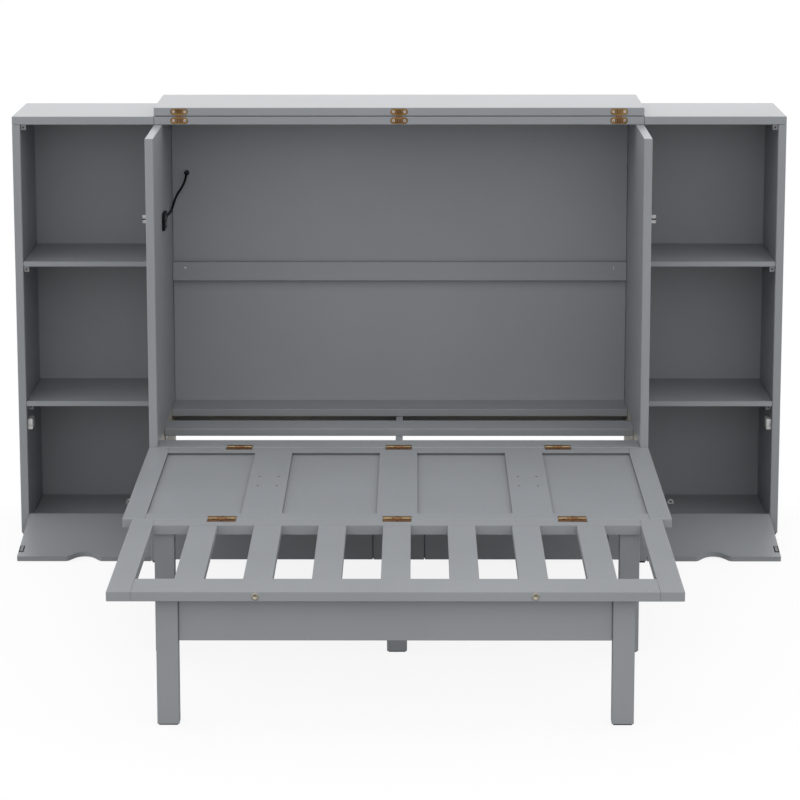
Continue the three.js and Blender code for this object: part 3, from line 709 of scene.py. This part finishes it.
for word, side in SIDES:
    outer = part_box(f"{word}_unit_outer_side")
    outer_face = outer[1].x if side < 0 else outer[0].x
    inner_face = side * HALF_CABINET
    rear = outer[1].y
    for level, setback in (("upper", SUPPORT_SETBACK), ("lower", FLAP_SETBACK)):
        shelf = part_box(f"{word}_unit_{level}_shelf")
        piece = Piece(f"{word}_{level}_shelf_supports")
        for y in (shelf[0].y + setback, rear - REAR_SUPPORTS):
            corner_block(piece, side, outer_face, y, shelf[0].z)
            corner_block(piece, -side, inner_face, y, shelf[0].z)
        piece.done("cabinet", "steel")

    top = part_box(f"{word}_unit_top")
    piece = Piece(f"{word}_top_supports")
    for y in (top[0].y + SUPPORT_SETBACK, rear - REAR_SUPPORTS):
        corner_block(piece, side, outer_face, y, top[0].z)
    piece.done("cabinet", "steel")

    # A hook on the cabinet's side, which holds the unit's frame to it.
    piece = Piece(f"{word}_side_catch")
    catch_y = UNIT_FRONT + CATCH_BACK
    low_x, high_x = sorted((inner_face + side * 0.4 * MM, inner_face + side * 3 * MM))
    low_z, high_z = CATCH_HEIGHTS
    piece.block((low_x, catch_y, low_z), (high_x, catch_y + CATCH_LENGTH, high_z), steel, 0.6 * MM)
    low_x, high_x = sorted((inner_face + side * 1 * MM, inner_face + side * CATCH_REACH))
    for low_z, high_z in CATCH_PRONGS:
        piece.block((low_x, catch_y, low_z), (high_x, catch_y + 3 * MM, high_z), steel, 0.8 * MM)
    # A dark web between the prongs is painted shade in the space between them.
    low_z, high_z = CATCH_WEB
    piece.block(
        (low_x, catch_y + 1 * MM, low_z), (high_x, catch_y + 2.5 * MM, high_z),
        dark_metal_and_shade, 0.3 * MM,
    )
    piece.done("cabinet", "steel")

    # A small curved stay on the unit's floor.
    floor_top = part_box(f"{word}_unit_floor")[1].z - FLOOR_LIP
    stay_x = side * STAY_X
    stay_y = FRONT_Y + STAY_BACK
    arch_z = floor_top + STAY_FLANGE
    piece = Piece(f"{word}_floor_stay")
    piece.block(
        (stay_x - STAY_BASE[0], stay_y - STAY_BASE[1], floor_top + STAY_LIFT),
        (stay_x + STAY_BASE[0], stay_y + STAY_BASE[1], arch_z + STAY_LIFT), white, 0.6 * MM,
    )
    turns = [math.pi * n / ARCH_STEPS for n in range(ARCH_STEPS + 1)]
    arch = [
        (stay_x + ARCH_HALF * math.cos(turn), stay_y, arch_z + ARCH_RISE * math.sin(turn))
        for turn in turns
    ]
    for start, end in zip(arch, arch[1:]):
        rod(piece, start, end, ARCH_THICK, white, 10)
    piece.done("cabinet", "white_plastic")

# ------------------------------------------------------------ flap and latch

FLAP_THICK = 15 * MM
FLAP_PIVOT = pivot("left_flap_drop")
FLAP_TURN = math.radians(JOINTS["left_flap_drop"]["range_deg"][1])
STRIKE_INSET = 8 * MM
STRIKE_HEIGHT = 277 * MM
LATCH_NOSE = 3 * MM
LATCH_SCREW = 3 * MM
FLAP_HINGE_HALF = 19 * MM
# Points drawn on the closed flap are turned down with it: y is inwards from its
# outer face and z is up from the pivot line.
flap_down = Matrix.Rotation(FLAP_TURN, 3, "X")


def on_flap(x, y, z):
    return Vector((x, FLAP_PIVOT.y, FLAP_PIVOT.z)) + flap_down @ Vector((0, y, z))


for word, side in SIDES:
    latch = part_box(f"{word}_touch_latch")
    middle_x = (latch[0].x + latch[1].x) / 2
    piece = Piece(f"{word}_push_latch")
    piece.block(
        (latch[0].x, latch[0].y + LATCH_NOSE, latch[0].z), (latch[1].x, latch[1].y, latch[1].z),
        white, 2.2 * MM, 4,
    )
    nose = (middle_x, latch[0].y + LATCH_NOSE, (latch[0].z + latch[1].z) / 2)
    piece.turned(
        [
            (0, -1 * MM), (6.2 * MM, -1 * MM), (6.2 * MM, 0.8 * MM), (5.4 * MM, 1.3 * MM),
            (4 * MM, 1.3 * MM), (4 * MM, 2.3 * MM), (3.2 * MM, 2.9 * MM), (0, LATCH_NOSE),
        ],
        nose, "-y", white, 28,
    )
    for end in (0.3, 0.8):
        y = latch[0].y + end * (latch[1].y - latch[0].y)
        face = latch[1].x if side < 0 else latch[0].x
        facing = Matrix.Rotation(math.radians(-90 * side), 3, "Y")
        piece.screw((face, y, nose[2]), facing, LATCH_SCREW, steel, 0.3 * MM)
    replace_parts(piece.done("cabinet", "white_plastic"), f"{word}_touch_latch")

    # The strike plate that the latch pushes on, on the flap's inner face.
    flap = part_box(f"{word}_flap")
    outer_edge = flap[0].x if side < 0 else flap[1].x
    piece = Piece(f"{word}_latch_strike")
    strike_x = outer_edge - side * STRIKE_INSET
    plate = rounded_rectangle(14 * MM, 46 * MM, 3 * MM)
    lying = flap_down @ Matrix(((1, 0, 0), (0, 0, 1), (0, 1, 0)))
    piece.outline(plate, on_flap(strike_x, FLAP_THICK, STRIKE_HEIGHT), lying, 1 * MM, black)
    face = rounded_rectangle(8 * MM, 38 * MM, 1.5 * MM)
    start = on_flap(strike_x, FLAP_THICK + 0.9 * MM, STRIKE_HEIGHT)
    piece.outline(face, start, lying, 0.7 * MM, dull_zinc, 0.2 * MM)
    piece.done(f"{word}_flap", "steel")

    # The fixed halves of two pivot hinges, on the front of the unit's floor.
    for number, share in enumerate((0.2, 0.8), 1):
        x = flap[0].x + share * (flap[1].x - flap[0].x)
        piece = Piece(f"{word}_flap_hinge_{number}_fixed")
        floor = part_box(f"{word}_unit_floor")
        piece.block(
            (x - FLAP_HINGE_HALF, floor[0].y - 1.6 * MM, floor[1].z - 17 * MM),
            (x + FLAP_HINGE_HALF, floor[0].y - 0.2 * MM, floor[1].z - 1.5 * MM),
            steel, 0.4 * MM,
        )
        piece.done("cabinet", "steel")

# --------------------------------------------------------- drawers' slides

SLIDE_HEIGHT = 35 * MM
SLIDE_RISE = 98 * MM
SLIDE_START = 4 * MM
INNER_SLIDE = (0.2 * MM, 5 * MM)
OUTER_SLIDE = (6.5 * MM, 12.8 * MM)
middle_z = base[0].z + SLIDE_RISE
for word, _ in SIDES:
    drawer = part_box(f"{word}_drawer_box")
    for number, (edge, way) in enumerate(((drawer[0].x, -1), (drawer[1].x, 1)), 1):
        inner = Piece(f"{word}_drawer_slide_{number}_inner")
        low_x, high_x = sorted(edge + way * span for span in INNER_SLIDE)
        inner.block(
            (low_x, drawer[0].y + SLIDE_START, middle_z - 0.32 * SLIDE_HEIGHT),
            (high_x, drawer[1].y - 20 * MM, middle_z + 0.32 * SLIDE_HEIGHT), steel, 1 * MM,
        )
        inner.done(f"{word}_drawer", "steel")
        outer = Piece(f"{word}_drawer_slide_{number}_outer")
        low_x, high_x = sorted(edge + way * span for span in OUTER_SLIDE)
        outer.block(
            (low_x, drawer[0].y + SLIDE_START, middle_z - 0.5 * SLIDE_HEIGHT),
            (high_x, drawer[1].y - 12 * MM, middle_z + 0.5 * SLIDE_HEIGHT), steel, 1.2 * MM,
        )
        outer.done("cabinet", "steel")

# ------------------------------------------------------------ slat supports

ANGLE_LEG = 22 * MM
ANGLE_THICK = 2 * MM
ANGLE_LENGTH = 70 * MM
for name in ("front_platform_slat", "rear_platform_slat"):
    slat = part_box(name)
    for word, side in SIDES:
        piece = Piece(f"{name}_{word}_bracket")
        wall = side * INNER_HALF
        near_wall = wall - side * 0.2 * MM
        y0 = slat[0].y + 25 * MM
        y1 = min(slat[1].y - 10 * MM, y0 + ANGLE_LENGTH)
        top_z = slat[0].z - 0.3 * MM
        for reach, low_z in (
            (0.2 * MM + ANGLE_THICK, slat[0].z - ANGLE_LEG), (ANGLE_LEG, top_z - ANGLE_THICK),
        ):
            low_x, high_x = sorted((near_wall, wall - side * reach))
            piece.block((low_x, y0, low_z), (high_x, y1, top_z), steel, 0.4 * MM)
        piece.done("cabinet", "steel")

# ------------------------------------------------------ power outlet and lead

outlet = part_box("power_outlet")
outlet_size = outlet[1] - outlet[0]
outlet_middle = (outlet[0] + outlet[1]) / 2
piece = Piece("outlet_face")
plate = rounded_rectangle(outlet_size.y, outlet_size.z, 11 * MM, 10)
start = (outlet[0].x, outlet_middle.y, outlet_middle.z)
piece.outline(plate, start, "x", outlet_size.x - 1 * MM, black, 1 * MM)
raised = rounded_rectangle(outlet_size.y - 16 * MM, outlet_size.z - 14 * MM, 7 * MM, 8)
start = (outlet[1].x - 1.2 * MM, outlet_middle.y, outlet_middle.z)
piece.outline(raised, start, "x", 1.1 * MM, black, 0.4 * MM)
PORT = (13 * MM, 5.6 * MM)
PORT_PITCH = (21 * MM, 8.5 * MM)
for row in (-1, 1):
    for column in (-1, 0, 1):
        place = (
            outlet[1].x - 0.3 * MM,
            outlet_middle.y + column * PORT_PITCH[0],
            outlet_middle.z + row * PORT_PITCH[1],
        )
        rim = rounded_rectangle(PORT[0] + 2 * MM, PORT[1] + 2 * MM, 1.6 * MM)
        piece.outline(rim, place, "x", 0.5 * MM, steel, 0.15 * MM)
        # Each socket opening is a dark sheet: painted shade in the hole.
        slot = rounded_rectangle(PORT[0], PORT[1], 1 * MM)
        piece.outline(slot, place, "x", 0.6 * MM, dark_metal_and_shade, 0.1 * MM)
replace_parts(piece.done("cabinet", "black_plastic"), "power_outlet")

CORD_DIAMETER = 7 * MM
cord_x = outlet_middle.x
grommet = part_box("cord_grommet")
grommet_x = (grommet[0].x + grommet[1].x) / 2
# The same route as the CAD's: x in metres, and y and z in millimetres, with y
# counted from the cabinet's front edges.
cord_route = [
    (cord_x, 373.3, 960), (cord_x, 395, 960), (cord_x, 440, 957), (cord_x, 500, 952),
    (cord_x, 560, 948.5), (cord_x, 596, 948.5), (-691 * MM, 620, 951), (-689 * MM, 639, 960),
    (-684 * MM, 650, 975), (-676 * MM, 653, 992), (-666 * MM, 650.5, 1007),
    (-658 * MM, 650, 1021), (-652.8 * MM, 654.5, 1034.5), (-650.5 * MM, 664, 1044.8),
    (grommet_x, 676, 1050.3), (grommet_x, 689, 1052), (grommet_x, 702, 1052),
]
route = [Vector((x, FRONT_Y + y * MM, z * MM)) for x, y, z in cord_route]


def smooth_path(points, steps=8):
    """A centripetal Catmull-Rom curve through the points."""
    made = []
    padded = [2 * points[0] - points[1], *points, 2 * points[-1] - points[-2]]
    for before, start, end, after in zip(padded, padded[1:], padded[2:], padded[3:]):
        knots = [0.0]
        for first, second in ((before, start), (start, end), (end, after)):
            knots.append(knots[-1] + math.sqrt((second - first).length))
        for step in range(steps):
            t = knots[1] + (knots[2] - knots[1]) * step / steps
            made.append(centripetal_point((before, start, end, after), knots, t))
    made.append(points[-1].copy())
    return made


def centripetal_point(points, knots, t):
    """Barry and Goldman's evaluation of one stretch of the curve."""

    def blend(first, second, low, high):
        return (first * (knots[high] - t) + second * (t - knots[low])) / (knots[high] - knots[low])

    before, start, end, after = points
    leading, middle_stretch, trailing = (
        blend(before, start, 0, 1), blend(start, end, 1, 2), blend(end, after, 2, 3),
    )
    return blend(blend(leading, middle_stretch, 0, 2), blend(middle_stretch, trailing, 1, 3), 1, 2)


path = smooth_path(route)
curve = bpy.data.curves.new("outlet_lead", "CURVE")
curve.dimensions = "3D"
curve.bevel_depth = CORD_DIAMETER / 2
curve.bevel_resolution = 6
curve.use_fill_caps = True
spline = curve.splines.new("POLY")
spline.points.add(len(path) - 1)
for point, place in zip(spline.points, path):
    point.co = (*place, 1)
curve.materials.append(black)
lead = bpy.data.objects.new("outlet_lead", curve)
bpy.context.scene.collection.objects.link(lead)
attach(lead, "cabinet")
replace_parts(lead, "outlet_cord")

piece = Piece("lead_strain_relief")
collar = [
    (0, 0), (5.4 * MM, 0), (5.3 * MM, 4 * MM), (4.6 * MM, 5 * MM), (5.1 * MM, 6 * MM),
    (4.9 * MM, 10 * MM), (4.3 * MM, 11 * MM), (4.7 * MM, 12 * MM), (4.3 * MM, 20 * MM),
    (3.8 * MM, 21 * MM), (0, 21 * MM),
]
piece.turned(collar, route[0], "y", black, 20)
relief = piece.done("cabinet", "black_plastic")

# ---------------------------------------------------- floor, lights and camera

FLOOR_ALBEDO = 0.4
FLOOR_ROUGHNESS = 0.9
FLOOR_DROP = 0.6 * MM
FLOOR_WHITE = 1.17
FLOOR_EVENNESS = 0.75
ROOM_LIGHT = 1.2
FRONT_POWER = 80
BACK_POWER = 25
REACH = 30
floor_mesh = bpy.data.meshes.new("floor")
floor_mesh.from_pydata(
    [(-REACH, -REACH, 0), (REACH, -REACH, 0), (REACH, REACH, 0), (-REACH, REACH, 0)],
    [], [(0, 1, 2, 3)],
)
floor_object = bpy.data.objects.new("floor", floor_mesh)
floor_object.location.z = -FLOOR_DROP
floor_nodes = Nodes("floor_white")
floor_nodes.shader.inputs["Base Color"].default_value = (*[FLOOR_ALBEDO] * 3, 1)
floor_nodes.shader.inputs["Roughness"].default_value = FLOOR_ROUGHNESS
# Seen directly, the stage's floor is mostly an even white, so that its shadows
# stay faint. To every other ray it is a plain grey surface.
glow = floor_nodes.add("ShaderNodeEmission", Strength=FLOOR_WHITE)
ray = floor_nodes.add("ShaderNodeLightPath")
share = floor_nodes.math("MULTIPLY", ray.outputs["Is Camera Ray"], FLOOR_EVENNESS)
blend_shader = floor_nodes.add("ShaderNodeMixShader")
floor_nodes.link(share, blend_shader.inputs[0])
floor_nodes.link(floor_nodes.shader.outputs[0], blend_shader.inputs[1])
floor_nodes.link(glow.outputs[0], blend_shader.inputs[2])
surface = floor_nodes.tree.nodes["Material Output"].inputs["Surface"]
floor_nodes.link(blend_shader.outputs[0], surface)
floor_mesh.materials.append(floor_nodes.material)
bpy.context.scene.collection.objects.link(floor_object)

world = bpy.data.worlds.new("studio")
world.use_nodes = True
background = world.node_tree.nodes["Background"]
background.inputs["Color"].default_value = (1, 1, 1, 1)
background.inputs["Strength"].default_value = ROOM_LIGHT
bpy.context.scene.world = world
bpy.context.scene.view_settings.view_transform = "Standard"


def soft_light(name, place, target, size, power):
    data = bpy.data.lights.new(name, "AREA")
    data.energy = power
    data.shape = "RECTANGLE"
    data.size, data.size_y = size
    light = bpy.data.objects.new(name, data)
    light.location = place
    light.rotation_euler = (Vector(target) - Vector(place)).to_track_quat("-Z", "Y").to_euler()
    bpy.context.scene.collection.objects.link(light)


soft_light("front_fill", (0, -13, 5), (0, 0, 0.6), (6, 4), FRONT_POWER)
soft_light("back_light", (0, 5, 2.6), (0, 0.8, 1.2), (6, 2), BACK_POWER)

CAMERA_PLACE = Vector((46.94 * MM, FRONT_Y - 9171.58 * MM, 2327.28 * MM))
LENS = 146.27
PITCH = 0.19844
YAW = 0.0047
ROLL = 0.00073
ahead_level = Vector((-math.sin(YAW), math.cos(YAW), 0))
right = Vector((math.cos(YAW), math.sin(YAW), 0))
up = math.sin(PITCH) * ahead_level + Vector((0, 0, math.cos(PITCH)))
ahead = math.cos(PITCH) * ahead_level - Vector((0, 0, math.sin(PITCH)))
image_right = math.cos(ROLL) * right - math.sin(ROLL) * up
image_up = math.sin(ROLL) * right + math.cos(ROLL) * up
camera_data = bpy.data.cameras.new("camera")
camera_data.sensor_width = 36
camera_data.lens = LENS
camera_data.clip_end = 100
camera = bpy.data.objects.new("camera", camera_data)
axes = Matrix((image_right, image_up, -ahead)).transposed()
camera.matrix_world = Matrix.Translation(CAMERA_PLACE) @ axes.to_4x4()
bpy.context.scene.collection.objects.link(camera)
bpy.context.scene.camera = camera
